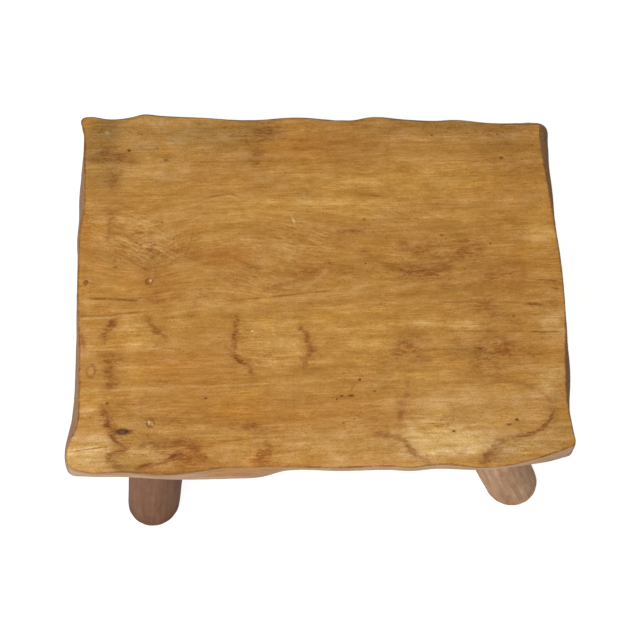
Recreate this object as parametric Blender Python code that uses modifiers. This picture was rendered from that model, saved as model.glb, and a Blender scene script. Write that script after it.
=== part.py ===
"""Milking stool: a thick plank seat with a hand-cut rim on four splayed round legs.

Metres, +Z up. The seat's grain and long side run along X, and the front edge faces -Y.
The origin is on the floor, under the middle of the stool.
Each leg's tenon sits in a blind mortise, whose floor drives a locking wedge into the tenon's end.
"""

import math

import bmesh
import bpy
from mathutils import Matrix, Vector

# Driving dimensions, in metres
STOOL_HEIGHT = 0.230
SEAT_LENGTH = 0.406  # along X, without the rim's waves
SEAT_WIDTH = 0.313  # along Y, without the rim's waves
SEAT_THICKNESS = 0.032
SEAT_EDGE_ROUND = 0.0015
LEG_FOOT_DIAMETER = 0.0495
LEG_TOP_DIAMETER = 0.0478
LEG_EDGE_ROUND = 0.002
LEG_END_INSET = 0.070  # seat's end to the leg's axis, at the underside
LEG_SIDE_INSET = 0.051  # seat's front or back to the leg's axis, at the underside
TENON_DIAMETER = 0.032
MORTISE_ROOF = 0.006  # wood left over a mortise
WEDGE_LENGTH = 0.014
WEDGE_HEAD = 0.0045
WEDGE_TIP = 0.0015
WEDGE_SETBACK = 0.002  # each end of a wedge to the tenon's side
FIT_GAP = 0.0003  # between pieces that touch
RIM_UNIT = 0.001  # what the rim's waves and flares below are counted in

# Each leg's corner of the seat, then how far it leans outwards along X and along Y, in degrees
LEGS = {
    "front_left": (-1, -1, 7.8, 7.5),
    "front_right": (1, -1, 14.7, 1.9),
    "back_left": (-1, 1, 9.5, 7.0),
    "back_right": (1, 1, 11.0, 5.5),
}

# The hand-cut rim, anticlockwise from the front left corner. Each point has its place along the edge,
# from -1 to 1, how far the rim stands out there, and how far the underside stands out past the rim.
FRONT_EDGE = (
    (-0.96, 0.4, -2.3),
    (-0.78, 2.7, -4.1),
    (-0.60, 4.5, -3.9),
    (-0.36, -1.4, 1.6),
    (-0.24, -2.5, 1.5),
    (-0.13, -2.0, -5.0),
    (0.08, -1.0, -5.5),
    (0.28, -2.4, -5.0),
    (0.36, -1.4, -5.0),
    (0.47, -3.3, -5.0),
    (0.66, -1.6, -6.0),
    (0.86, -8.8, -3.4),
    (0.93, -13.8, -0.6),
    (0.985, -18.2, 0.6),
)
RIGHT_END = (
    (-0.87, 1.4, 2.0),
    (-0.80, 0.9, 4.0),
    (-0.64, -2.2, 7.0),
    (-0.42, -2.0, 9.8),
    (-0.20, 0.5, 6.0),
    (0.15, 0.0, 3.5),
    (0.46, -4.6, 7.6),
    (0.60, -6.5, 9.6),
    (0.69, -8.3, 10.9),
    (0.80, -9.8, 11.3),
    (0.948, -10.0, 11.6),
    (0.975, -9.4, 18.4),
)
BACK_EDGE = (
    (-0.90, -3.0, 15.4),
    (-0.73, -2.2, 8.0),
    (-0.58, 1.2, 5.0),
    (-0.50, 0.4, 4.5),
    (-0.36, 1.8, 3.5),
    (-0.23, 4.1, 1.5),
    (-0.13, 0.3, 4.0),
    (0.11, 3.9, 1.5),
    (0.28, 1.2, 3.0),
    (0.52, 3.1, 2.0),
    (0.69, 5.4, 1.0),
    (0.765, 6.9, 0.0),
    (0.81, 4.2, 1.5),
    (0.88, 1.8, 3.0),
    (0.935, 2.3, 3.0),
    (0.985, 4.4, 2.0),
)
LEFT_END = (
    (-1.005, 5.8, 0.0),
    (-0.935, 3.3, 2.5),
    (-0.83, 1.5, 6.0),
    (-0.76, 0.6, 8.2),
    (-0.62, -0.6, 10.5),
    (-0.46, -0.8, 9.5),
    (-0.34, 1.4, 7.5),
    (-0.20, 0.7, 6.0),
    (0.0, -0.3, 5.5),
    (0.36, -4.7, 8.0),
    (0.68, -8.4, 12.0),
    (0.78, -6.4, 12.5),
    (0.85, -1.7, 9.5),
    (0.92, 0.3, 6.0),
    (0.97, -1.2, 3.0),
)

# Worked out from the dimensions
UNDERSIDE = STOOL_HEIGHT - SEAT_THICKNESS

# How finely the curves are cut, and how far cutters run past what they cut
RIM_STEPS = 4
ROUND_SIDES = 32
EDGE_SEGMENTS = 3
EDGE_ANGLE = math.radians(45)  # faces that meet more sharply have an edge between them
MERGE_DISTANCE = 0.00001
OVERRUN = 0.02


def clear_scene():
    for leftover in list(bpy.data.objects):
        bpy.data.objects.remove(leftover, do_unlink=True)


def new_collection(name):
    collection = bpy.data.collections.new(name)
    bpy.context.scene.collection.children.link(collection)
    return collection


def wood(name, colour, roughness):
    material = bpy.data.materials.new(name)
    material.use_nodes = True
    shader = material.node_tree.nodes["Principled BSDF"]
    shader.inputs["Base Color"].default_value = (*colour, 1.0)
    shader.inputs["Roughness"].default_value = roughness
    shader.inputs["Metallic"].default_value = 0.0
    return material


def add_object(name, data, collection, material=None):
    added = bpy.data.objects.new(name, data)
    collection.objects.link(added)
    if material:
        data.materials.append(material)
    return added


def mesh_from(bm, name):
    bmesh.ops.recalc_face_normals(bm, faces=bm.faces)
    mesh = bpy.data.meshes.new(name)
    bm.to_mesh(mesh)
    bm.free()
    return mesh


def as_cutter(cutter):
    cutter.hide_render = True
    cutter.display_type = "WIRE"
    return cutter


def cut(piece, cutter, operation="DIFFERENCE"):
    boolean = piece.modifiers.new(cutter.name, "BOOLEAN")
    boolean.operation = operation
    boolean.object = cutter


def round_edges(piece, width):
    bevel = piece.modifiers.new("rounded_edges", "BEVEL")
    bevel.limit_method = "ANGLE"
    bevel.angle_limit = EDGE_ANGLE
    bevel.width = width
    bevel.segments = EDGE_SEGMENTS


def rim_outlines():
    """The points of the rim at the top face, and of the outline at the underside."""
    half_length = SEAT_LENGTH / 2
    half_width = SEAT_WIDTH / 2
    edges = (
        (FRONT_EDGE, Vector((1, 0)), half_length, half_width),
        (RIGHT_END, Vector((0, 1)), half_width, half_length),
        (BACK_EDGE, Vector((-1, 0)), half_length, half_width),
        (LEFT_END, Vector((0, -1)), half_width, half_length),
    )
    rim = []
    flares = []
    for points, along, half_run, reach in edges:
        outward = Vector((along.y, -along.x))
        for place, wave, flare in points:
            rim.append(along * place * half_run + outward * (reach + wave * RIM_UNIT))
            flares.append(flare * RIM_UNIT)
    underside = []
    for index, point in enumerate(rim):
        run = rim[(index + 1) % len(rim)] - rim[index - 1]
        outward = Vector((run.y, -run.x)).normalized()
        underside.append(point + outward * flares[index])
    return rim, underside


def smooth_loop(points, collection):
    """Points along a closed smooth curve through the given ones."""
    curve = bpy.data.curves.new("rim_guide", "CURVE")
    curve.dimensions = "3D"
    curve.resolution_u = RIM_STEPS
    spline = curve.splines.new("BEZIER")
    spline.bezier_points.add(len(points) - 1)
    spline.use_cyclic_u = True
    for knot, point in zip(spline.bezier_points, points):
        knot.co = point.to_3d()
        knot.handle_left_type = "AUTO"
        knot.handle_right_type = "AUTO"
    guide = add_object("rim_guide", curve, collection)
    depsgraph = bpy.context.evaluated_depsgraph_get()
    mesh = bpy.data.meshes.new_from_object(guide.evaluated_get(depsgraph))
    loop = [vertex.co.copy() for vertex in mesh.vertices]
    bpy.data.objects.remove(guide, do_unlink=True)
    return loop


def make_seat(parts, cutters, material):
    """The plank, lofted from its underside's outline to its rim."""
    rim, underside = rim_outlines()
    bm = bmesh.new()
    loops = []
    for points, height in ((underside, UNDERSIDE), (rim, STOOL_HEIGHT)):
        loop = smooth_loop(points, cutters)
        loops.append([bm.verts.new((point.x, point.y, height)) for point in loop])
    low, high = loops
    bm.faces.new(low)
    bm.faces.new(high)
    for index in range(len(low)):
        bm.faces.new((low[index - 1], low[index], high[index], high[index - 1]))
    mesh = mesh_from(bm, "seat")
    mesh.shade_smooth()
    mesh.set_sharp_from_angle(angle=EDGE_ANGLE)
    seat = add_object("seat", mesh, parts, material)
    round_edges(seat, SEAT_EDGE_ROUND)
    return seat


def leg_frame(side_x, side_y, lean_x, lean_y):
    """Origin at the mortise's mouth, +Z up the leg's axis and +Y across the seat's grain."""
    mouth = Vector((
        side_x * (SEAT_LENGTH / 2 - LEG_END_INSET),
        side_y * (SEAT_WIDTH / 2 - LEG_SIDE_INSET),
        UNDERSIDE,
    ))
    lean = Vector((side_x * math.tan(math.radians(lean_x)), side_y * math.tan(math.radians(lean_y))))
    up = Vector((-lean.x, -lean.y, 1.0)).normalized()
    across = up.cross(Vector((1, 0, 0))).normalized()
    along = across.cross(up)
    frame = Matrix((along, across, up)).transposed().to_4x4()
    frame.translation = mouth
    return frame


def turned(name, profile, frame, collection, material):
    """A round solid about Z, from (radius, height) points that run from its top to its bottom."""
    mesh = bpy.data.meshes.new(name)
    points = [(radius, 0, height) for radius, height in profile]
    mesh.from_pydata(points, [(i, i + 1) for i in range(len(points) - 1)], [])
    piece = add_object(name, mesh, collection, material)
    piece.matrix_world = frame
    screw = piece.modifiers.new("turned", "SCREW")
    screw.steps = ROUND_SIDES
    screw.render_steps = ROUND_SIDES
    screw.use_merge_vertices = True
    screw.merge_threshold = MERGE_DISTANCE
    screw.use_smooth_shade = True
    return piece


def taper_block(name, head, tip, length, breadth, frame, top, collection, material=None):
    """A block that hangs from height top, breadth wide along Y, and narrows along X from head to tip."""
    bm = bmesh.new()
    bmesh.ops.create_cube(bm, size=1.0)
    for corner in bm.verts:
        corner.co.x *= head if corner.co.z > 0 else tip
        corner.co.y *= breadth
        corner.co.z = top + (corner.co.z - 0.5) * length
    block = add_object(name, mesh_from(bm, name), collection, material)
    block.matrix_world = frame
    return block


def standing_room(cutters):
    """The space between the floor and the seat, which trims each leg's foot and shoulder flat."""
    bm = bmesh.new()
    bmesh.ops.create_cube(bm, size=1.0)
    height = UNDERSIDE - FIT_GAP
    bmesh.ops.scale(bm, vec=(2 * SEAT_LENGTH, 2 * SEAT_WIDTH, height), verts=bm.verts)
    bmesh.ops.translate(bm, vec=(0, 0, height / 2), verts=bm.verts)
    return as_cutter(add_object("standing_room", mesh_from(bm, "standing_room"), cutters))


def make_leg(name, corner, seat, room, parts, cutters, leg_wood, wedge_wood):
    """One leg with its tenon, the mortise that it needs in the seat, and its wedge."""
    frame = leg_frame(*corner)
    upright = frame.col[2].z
    slope = math.sqrt(1.0 - upright**2)
    tenon_radius = TENON_DIAMETER / 2
    bore_radius = tenon_radius + FIT_GAP
    bore_depth = (SEAT_THICKNESS - MORTISE_ROOF - bore_radius * slope) / upright
    tenon_length = bore_depth - FIT_GAP
    foot = -UNDERSIDE / upright

    leg = turned(
        f"{name}_leg",
        (
            (0, OVERRUN),
            (LEG_TOP_DIAMETER / 2, OVERRUN),
            (LEG_TOP_DIAMETER / 2, 0),
            (LEG_FOOT_DIAMETER / 2, foot),
            (LEG_FOOT_DIAMETER / 2, foot - OVERRUN),
            (0, foot - OVERRUN),
        ),
        frame,
        parts,
        leg_wood,
    )
    cut(leg, room, "INTERSECT")
    round_edges(leg, LEG_EDGE_ROUND)

    tenon_profile = ((0, tenon_length), (tenon_radius, tenon_length), (tenon_radius, -OVERRUN), (0, -OVERRUN))
    tenon = as_cutter(turned(f"{name}_tenon", tenon_profile, frame, cutters, leg_wood))
    cut(leg, tenon, "UNION")

    bore_profile = ((0, bore_depth), (bore_radius, bore_depth), (bore_radius, -OVERRUN), (0, -OVERRUN))
    cut(seat, as_cutter(turned(f"{name}_mortise", bore_profile, frame, cutters, None)))

    kerf = taper_block(
        f"{name}_kerf",
        WEDGE_HEAD + 2 * FIT_GAP,
        WEDGE_TIP + 2 * FIT_GAP,
        WEDGE_LENGTH + 2 * FIT_GAP,
        TENON_DIAMETER + 2 * FIT_GAP,
        frame,
        tenon_length + FIT_GAP,
        cutters,
    )
    cut(leg, as_cutter(kerf))
    taper_block(
        f"{name}_wedge",
        WEDGE_HEAD,
        WEDGE_TIP,
        WEDGE_LENGTH,
        TENON_DIAMETER - 2 * WEDGE_SETBACK,
        frame,
        tenon_length,
        parts,
        wedge_wood,
    )


def centre_on_floor(root, parts):
    """Moves the stool so that the origin is under the middle of its outer box."""
    depsgraph = bpy.context.evaluated_depsgraph_get()
    corners = []
    for piece in parts.objects:
        if piece.type != "MESH":
            continue
        shape = piece.evaluated_get(depsgraph)
        corners += [shape.matrix_world @ vertex.co for vertex in shape.data.vertices]
    for axis in (0, 1):
        places = [corner[axis] for corner in corners]
        root.location[axis] = -(min(places) + max(places)) / 2


def main():
    clear_scene()
    parts = new_collection("milking_stool")
    cutters = new_collection("cutters")
    seat_wood = wood("varnished_plank", (0.46, 0.25, 0.07), 0.45)
    leg_wood = wood("bare_leg_wood", (0.27, 0.17, 0.11), 0.75)
    wedge_wood = wood("hard_wedge_wood", (0.50, 0.36, 0.22), 0.65)

    seat = make_seat(parts, cutters, seat_wood)
    room = standing_room(cutters)
    for name, corner in LEGS.items():
        make_leg(name, corner, seat, room, parts, cutters, leg_wood, wedge_wood)

    root = add_object("stool_origin", None, parts)
    for piece in (*parts.objects, *cutters.objects):
        if piece is not root:
            piece.parent = root
    centre_on_floor(root, parts)


main()
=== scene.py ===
import math

import bpy
import numpy as np
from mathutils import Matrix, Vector


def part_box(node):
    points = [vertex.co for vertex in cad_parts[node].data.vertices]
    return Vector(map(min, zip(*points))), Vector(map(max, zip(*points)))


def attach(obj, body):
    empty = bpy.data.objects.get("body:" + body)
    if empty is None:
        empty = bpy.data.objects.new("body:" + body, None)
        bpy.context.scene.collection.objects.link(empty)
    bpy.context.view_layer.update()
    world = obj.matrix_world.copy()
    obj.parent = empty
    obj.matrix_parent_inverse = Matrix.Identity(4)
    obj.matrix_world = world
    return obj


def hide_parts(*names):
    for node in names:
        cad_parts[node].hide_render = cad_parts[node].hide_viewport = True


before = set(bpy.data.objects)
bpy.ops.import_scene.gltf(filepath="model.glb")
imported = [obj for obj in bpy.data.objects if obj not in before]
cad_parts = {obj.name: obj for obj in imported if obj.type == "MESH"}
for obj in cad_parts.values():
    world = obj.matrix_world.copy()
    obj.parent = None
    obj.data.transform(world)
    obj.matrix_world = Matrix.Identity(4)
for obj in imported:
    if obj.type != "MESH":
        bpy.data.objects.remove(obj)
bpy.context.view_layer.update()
print("frame loaded:", ", ".join(sorted(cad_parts)))

metresToMm = 1000.0
farAway = 1e9
smoothAngle = math.radians(40.0)  # edges sharper than this stay crisp
legNames = ("front_left", "front_right", "back_left", "back_right")

# The camera stands where the photo was taken, so a pixel of the photo can be laid on the seat
camera = {
    "place": (0.00095, -0.40984, 1.261),
    "downwards": 70.0,  # degrees below the horizon
    "lens": 74.53,
    "sensor": 36.0,
    "pixels": 640,
}


def addCamera():
    tilt = math.radians(90.0 - camera["downwards"])
    bpy.ops.object.camera_add(location=camera["place"], rotation=(tilt, 0.0, 0.0))
    made = bpy.context.object
    made.name = "photo_camera"
    made.data.lens = camera["lens"]
    made.data.sensor_width = camera["sensor"]
    bpy.context.scene.camera = made
    print("camera placed")


seatLow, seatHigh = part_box("seat")
seatTop = seatHigh.z
seatUnder = seatLow.z


def seatPoint(pixelX, pixelY):
    # the point of the seat's top, in mm, that the photo shows at this pixel
    half = camera["pixels"] / 2
    spread = camera["sensor"] / camera["lens"] / camera["pixels"]
    across = (pixelX - half) * spread
    upwards = (half - pixelY) * spread
    tilt = math.radians(camera["downwards"])
    ray = Vector((
        across,
        math.cos(tilt) + upwards * math.sin(tilt),
        -math.sin(tilt) + upwards * math.cos(tilt),
    ))
    place = Vector(camera["place"])
    hit = place + ray * ((seatTop - place.z) / ray.z)
    return hit.x * metresToMm, hit.y * metresToMm


# Small tools for meshes

def deselect():
    bpy.ops.object.select_all(action="DESELECT")


def pick(piece):
    deselect()
    piece.select_set(True)
    bpy.context.view_layer.objects.active = piece


def editAll(piece):
    # edit mode, with the whole mesh selected
    pick(piece)
    bpy.ops.object.mode_set(mode="EDIT")
    bpy.ops.mesh.select_all(action="SELECT")


def editOnly(piece, kind, wanted):
    # edit mode, with only the wanted faces or edges selected
    pick(piece)
    bpy.ops.object.mode_set(mode="EDIT")
    bpy.ops.mesh.select_mode(type=kind)
    bpy.ops.mesh.select_all(action="DESELECT")
    leaveEdit()
    parts = piece.data.polygons if kind == "FACE" else piece.data.edges
    for part in parts:
        part.select = wanted(part)
    bpy.ops.object.mode_set(mode="EDIT")


def leaveEdit():
    bpy.ops.object.mode_set(mode="OBJECT")


def smoothEdges(piece):
    pick(piece)
    bpy.ops.object.shade_smooth_by_angle(angle=smoothAngle)


def points(piece):
    spots = np.zeros(len(piece.data.vertices) * 3)
    piece.data.vertices.foreach_get("co", spots)
    return spots.reshape(-1, 3)


def setPoints(piece, spots):
    piece.data.vertices.foreach_set("co", spots.astype(np.float32).ravel())
    piece.data.update()


def normals(piece):
    found = np.zeros(len(piece.data.vertices) * 3)
    piece.data.vertex_normals.foreach_get("vector", found)
    return found.reshape(-1, 3)


def setAttribute(piece, name, values):
    vector = values.ndim == 2
    kind = "FLOAT_VECTOR" if vector else "FLOAT"
    made = piece.data.attributes.new(name, kind, "POINT")
    made.data.foreach_set("vector" if vector else "value", values.astype(np.float32).ravel())


def boolean(piece, tool, operation, solver="EXACT"):
    pick(piece)
    step = piece.modifiers.new(operation.lower(), "BOOLEAN")
    step.operation = operation
    step.object = tool
    step.solver = solver
    bpy.ops.object.modifier_apply(modifier=step.name)
    bpy.data.objects.remove(tool, do_unlink=True)


def finishPiece(piece, node, material):
    pick(piece)
    piece.data.materials.clear()
    piece.data.materials.append(material)
    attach(piece, "root")
    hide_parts(node)


def smoothStep(low, high, values):
    share = np.clip((values - low) / (high - low), 0.0, 1.0)
    return share * share * (3.0 - 2.0 * share)


def ripple(seed, waveLength, *places):
    # a smooth seeded field of about unit size, from waves of mixed directions
    waveCount = 9
    shortest = 0.7  # shares of the wave length
    longest = 1.6
    random = np.random.default_rng(seed)
    total = np.zeros(len(places[0]))
    for _ in range(waveCount):
        heading = random.normal(size=len(places))
        length = waveLength * random.uniform(shortest, longest)
        heading *= 2.0 * math.pi / length / np.linalg.norm(heading)
        phase = random.uniform(0.0, 2.0 * math.pi)
        total += np.cos(sum(turn * place for turn, place in zip(heading, places)) + phase)
    return total * math.sqrt(2.0 / waveCount)


# Shader sums: a Signal is one socket, and plain arithmetic on it adds Math nodes

class Signal:
    def __init__(self, tree, socket=None):
        self.tree = tree
        self.socket = socket

    def node(self, kind, settings=None, inputs=None, output=0):
        made = self.tree.nodes.new("ShaderNode" + kind)
        for name, value in (settings or {}).items():
            if name == "stops":
                stops = made.color_ramp.elements
                while len(stops) < len(value):
                    stops.new(1.0)
                for stop, (place, shade) in zip(stops, value):
                    stop.position = place
                    stop.color = shade
            else:
                setattr(made, name, value)
        for name, value in (inputs or {}).items():
            if isinstance(value, Signal):
                self.tree.links.new(value.socket, made.inputs[name])
            else:
                made.inputs[name].default_value = value
        return Signal(self.tree, made.outputs[output])

    def math(self, operation, first, second=0.0):
        return self.node("Math", {"operation": operation}, {0: first, 1: second})

    def __add__(self, other):
        return self.math("ADD", self, other)

    __radd__ = __add__

    def __mul__(self, other):
        return self.math("MULTIPLY", self, other)

    __rmul__ = __mul__

    def __sub__(self, other):
        return self.math("SUBTRACT", self, other)

    def __rsub__(self, other):
        return self.math("SUBTRACT", other, self)

    def __truediv__(self, other):
        return self.math("DIVIDE", self, other)

    def __abs__(self):
        return self.math("ABSOLUTE", self)

    def top(self, other):
        return self.math("MAXIMUM", self, other)

    def length(self):
        return self.node("VectorMath", {"operation": "LENGTH"}, {0: self}, "Value")

    def ease(self, low, high):
        # 0 up to low, 1 from high on, and smooth between; low may be the larger one
        return self.node(
            "MapRange", {"interpolation_type": "SMOOTHSTEP"},
            {"Value": self, "From Min": low, "From Max": high, "To Min": 0.0, "To Max": 1.0}, "Result",
        )

    def axis(self, name):
        return self.node("SeparateXYZ", None, {0: self}, name)

    def stretched(self, x, y, z):
        return self.node("VectorMath", {"operation": "MULTIPLY"}, {0: self, 1: (x, y, z)})

    def moved(self, x, y, z):
        return self.node("VectorMath", {"operation": "ADD"}, {0: self, 1: (x, y, z)})

    def noise(self, detail, roughness):
        return self.node(
            "TexNoise", {"noise_dimensions": "3D"},
            {"Vector": self, "Scale": 1.0, "Detail": detail, "Roughness": roughness},
        )

    def attribute(self, name, output="Vector"):
        return self.node("Attribute", {"attribute_name": name}, None, output)

    def objectPlace(self):
        # in mm
        return self.node("TexCoord", None, None, "Object").stretched(metresToMm, metresToMm, metresToMm)

    def ramp(self, *stops):
        return self.node("ValToRGB", {"stops": stops}, {"Fac": self}, "Color")

    def mix(self, other, share, blend="MIX"):
        # this colour towards the other by share
        settings = {"data_type": "RGBA", "blend_type": blend, "clamp_factor": True}
        return self.node("Mix", settings, {0: share, 6: self, 7: other}, 2)


def colour(red, green, blue):
    # a colour picked on screen, as the shader's linear one
    def linear(level):
        level /= 255.0
        return level / 12.92 if level <= 0.04045 else ((level + 0.055) / 1.055) ** 2.4

    return (linear(red), linear(green), linear(blue), 1.0)


def newMaterial(name, specular):
    material = bpy.data.materials.new(name)
    material.use_nodes = True
    tree = material.node_tree
    shader = tree.nodes["Principled BSDF"]
    shader.inputs["Specular IOR Level"].default_value = specular
    return material, Signal(tree), shader


def connect(signal, shader, socketName):
    signal.tree.links.new(signal.socket, shader.inputs[socketName])


def bump(height, distance, strength):
    inputs = {"Height": height, "Distance": distance, "Strength": strength}
    return height.node("Bump", None, inputs, "Normal")


# Seat: a plank with a hand-cut rim. Lengths are in mm.

seat = {
    "cellsAlong": 212,
    "cellsAcross": 164,
    "edgeRings": 6,
    "wallRings": 11,
    "lowRings": 4,
    # the rim's worn round: how much it varies, over what run, and its limits
    "edgeRound": 1.3,
    "edgeRoundVaries": 0.35,
    "edgeRoundRun": 70.0,
    "edgeRoundLimits": (0.8, 2.0),
    # how far the top is worn down at the rim, as above, and how far in that reaches
    "edgeDrop": 0.7,
    "edgeDropVaries": 0.5,
    "edgeDropRun": 90.0,
    "edgeDropLimits": (0.2, 1.3),
    "edgeDropInwards": 7.0,
    "lowRound": 1.8,
    "wallBow": 0.5,
    # marks of the shaving knife round the wall
    "shaveDepth": 0.28,
    "shaveRun": 17.0,
    "shaveUpright": 0.6,  # below 1, the marks are taller than wide
    "shaveMean": 0.8,
    # the top's waves, which start this far in from the rim
    "topWave": 0.22,
    "topWaveRun": 75.0,
    "topWaveInwards": 12.0,
    "topLevel": 0.05,  # what lies this little below the rim still counts as the top
    "wallBeyond": (160.0, 130.0),  # x and y past which the solid has only its wall
    "rimRingLow": 1.2,  # where the solid's wall starts below the top, as a range
    "rimRingHigh": 2.6,
    "rimSamples": 1440,
    "rimSmooth": 1.2,
    "mortiseGap": 0.3,
    "endFacing": (0.45, 0.85),  # how squarely a wall faces along the grain, from side to end
    "leftEndGrainAndShadeShare": 0.6,  # how much of the darker end colour the left wall takes, next to the right one: end grain, and painted shade that leaves the right end darker
    # where the rim stands further out: pixel x, pixel y, half length and how far
    "rimTouches": {
        "left upper": (85, 165, 28, 1.6),
        "left lower": (80, 398, 26, 1.6),
        "back left corner": (83, 119, 6, 1.2),
    },
}

# How the grain runs: along X, pushed aside where it swirls round old knots
growth = {
    "tilt": 0.024,  # the grain climbs a little to the right
    "sway": 0.8,  # how far it sways, over what run, and how much quicker across
    "swayRun": 220.0,
    "swayAcross": 2.0,
    "pith": (26.0, -105.0),  # the tree's middle, across the plank and below its top
    # pixel x, pixel y, half length, half width, how far the grain is pushed across
    "swirls": {
        "middle left": (232, 230, 60, 30, 9.0),
        "hand": (140, 262, 34, 24, -11.0),
        "swirl": (300, 285, 50, 22, -8.0),
        "left low": (205, 292, 40, 18, 6.0),
        "smile": (410, 268, 52, 20, -6.0),
        "knot": (124, 431, 14, 6, 3.0),
    },
}


def rimLoops():
    # the wall's upper and lower outline, as radius and height over a full turn of angles
    spots = points(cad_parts["seat"]) * metresToMm
    outer = (np.abs(spots[:, :2]) > seat["wallBeyond"]).any(1)
    angles = np.linspace(-math.pi, math.pi, seat["rimSamples"], endpoint=False)
    reach = int(4 * seat["rimSmooth"])  # past this a neighbour no longer counts
    kernel = np.exp(-0.5 * (np.arange(-reach, reach + 1) / seat["rimSmooth"]) ** 2)
    kernel /= kernel.sum()
    loops = []
    for level, inward in ((seatTop, -1.0), (seatUnder, 1.0)):
        depth = (spots[:, 2] - level * metresToMm) * inward
        ring = spots[outer & (depth > seat["rimRingLow"]) & (depth < seat["rimRingHigh"])]
        turn = np.arctan2(ring[:, 1], ring[:, 0])
        order = np.argsort(turn)
        radius = np.interp(angles, turn[order], np.hypot(ring[:, 0], ring[:, 1])[order], period=2 * math.pi)
        padded = np.concatenate((radius[-reach:], radius, radius[:reach]))
        loops.append((np.convolve(padded, kernel, "valid"), ring[:, 2].mean()))
    return angles, loops


def borderAngles(angles, radius):
    # where the grid's border points lie on the outline: evenly spaced along each of its four edges
    x = radius * np.cos(angles)
    y = radius * np.sin(angles)
    halfX = (x.max() - x.min()) / 2
    halfY = (y.max() - y.min()) / 2
    corners = []
    for signX, signY in ((-1, -1), (1, -1), (1, 1), (-1, 1)):
        corners.append(int(np.argmax(signX * x / halfX + signY * y / halfY)))
    count = len(angles)
    border = []
    cells = (seat["cellsAlong"], seat["cellsAcross"]) * 2
    for edge in range(4):
        first = corners[edge]
        last = corners[(edge + 1) % 4]
        run = np.arange(first, last + 1 if last > first else last + count + 1)
        steps = np.hypot(np.diff(x[run % count]), np.diff(y[run % count]))
        travelled = np.concatenate(((0.0,), np.cumsum(steps)))
        wanted = np.linspace(0.0, travelled[-1], cells[edge] + 1)[:-1]
        place = np.interp(wanted, travelled, run)
        border.append(angles[0] + place * (angles[1] - angles[0]))
    return np.concatenate(border)


def coons(border, u, v):
    # fills the border's four edges with a smooth net; u and v run from 0 to 1
    along = seat["cellsAlong"]
    across = seat["cellsAcross"]
    column = np.rint(u * along).astype(int)
    row = np.rint(v * across).astype(int)
    front = border[column]
    right = border[along + row]
    back = border[along + across + (along - column)]
    left = border[(2 * along + across + (across - row)) % len(border)]
    frontLeft = border[0]
    frontRight = border[along]
    backRight = border[along + across]
    backLeft = border[2 * along + across]
    u = u[:, None]
    v = v[:, None]
    net = (1 - v) * front + v * back + (1 - u) * left + u * right
    net -= (1 - u) * (1 - v) * frontLeft + u * (1 - v) * frontRight
    net -= u * v * backRight + (1 - u) * v * backLeft
    return net


def nearestRim(x, y, rim, every=1):
    # how far away the nearest rim point is, and which one it is
    inside = np.full(len(x), farAway)
    nearest = np.zeros(len(x), int)
    for number in range(0, len(rim), every):
        gap = np.hypot(x - rim[number, 0], y - rim[number, 1])
        closer = gap < inside
        inside[closer] = gap[closer]
        nearest[closer] = number
    return inside, nearest


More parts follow.
